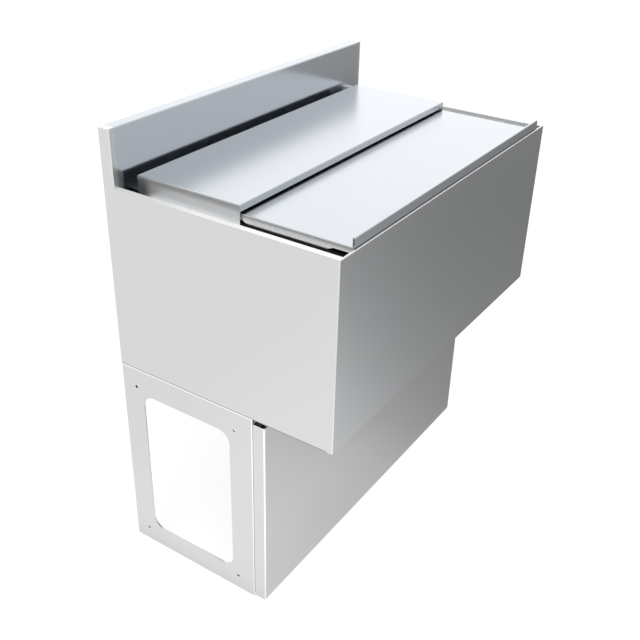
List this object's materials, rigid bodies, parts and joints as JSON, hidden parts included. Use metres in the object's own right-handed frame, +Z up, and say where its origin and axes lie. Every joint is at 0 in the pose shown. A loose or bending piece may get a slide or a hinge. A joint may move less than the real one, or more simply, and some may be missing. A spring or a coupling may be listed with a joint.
{
  "type": "bar sink with ice bin",
  "caption": "Free-standing stainless bar unit: sliding front cover and lift-off rear cover over an insulated ice bin and a sink bowl, backsplash, open base with kick panel.",
  "frame": {"origin": "on the floor, under the middle of the unit's outline", "axes": "+Z up, -Y towards the user, who sees the front panel; +X to the user's right"},
  "size_m": [0.762, 0.462, 0.863],
  "materials": {
    "stainless_body": "fine brushed stainless steel",
    "stainless_cover": "fine brushed stainless steel",
    "stainless_liner": "satin stainless steel",
    "stainless_base": "fine brushed stainless steel",
    "insulation_foam": "matt rigid foam",
    "drain_metal": "polished plated metal",
    "rail_plastic": "matt black plastic",
    "pipe_plastic": "semi-matt white plastic"
  },
  "bodies": {
    "cabinet": {"front_panel": "stainless_body", "side_panel_left": "stainless_body", "side_panel_right": "stainless_body", "backsplash": "stainless_body", "rear_panel": "stainless_body", "bottom_pan": "stainless_body", "deck_rim": "stainless_body", "cover_rail_left": "rail_plastic", "cover_rail_right": "rail_plastic", "ice_bin_liner": "stainless_liner", "ice_bin_insulation": "insulation_foam", "bin_rest_clips": "stainless_liner", "ice_drain_body": "drain_metal", "ice_drain_nut": "drain_metal", "sink_bowl": "stainless_liner", "sink_drain_body": "drain_metal", "sink_drain_nut": "drain_metal", "base_side_left": "stainless_base", "base_side_right": "stainless_base", "base_tie_front": "stainless_base", "base_tie_rear": "stainless_base", "kick_hooks_left": "stainless_base", "kick_hooks_right": "stainless_base"},
    "front_cover": {"front_cover": "stainless_cover"},
    "rear_cover": {"rear_cover": "stainless_cover"},
    "false_bottom": {"false_bottom": "stainless_liner"},
    "standpipe": {"overflow_standpipe": "pipe_plastic"},
    "kick": {"kick_panel": "stainless_base", "kick_hanger_left": "stainless_base", "kick_hanger_right": "stainless_base"}
  },
  "joints": [
    {"name": "front_cover_slide", "type": "slide", "parent": "cabinet", "child": "front_cover", "axis": [0, 1, 0], "range_m": [0, 0.195]},
    {"name": "rear_cover_lift", "type": "slide", "parent": "cabinet", "child": "rear_cover", "axis": [0, 0, 1], "range_m": [0, 0.06]},
    {"name": "false_bottom_lift", "type": "slide", "parent": "cabinet", "child": "false_bottom", "axis": [0, 0, 1], "range_m": [0, 0.2]},
    {"name": "standpipe_lift", "type": "slide", "parent": "cabinet", "child": "standpipe", "axis": [0, 0, 1], "range_m": [0, 0.05]},
    {"name": "kick_panel_lift", "type": "slide", "parent": "cabinet", "child": "kick", "axis": [0, 0, 1], "range_m": [0, 0.008]}
  ]
}
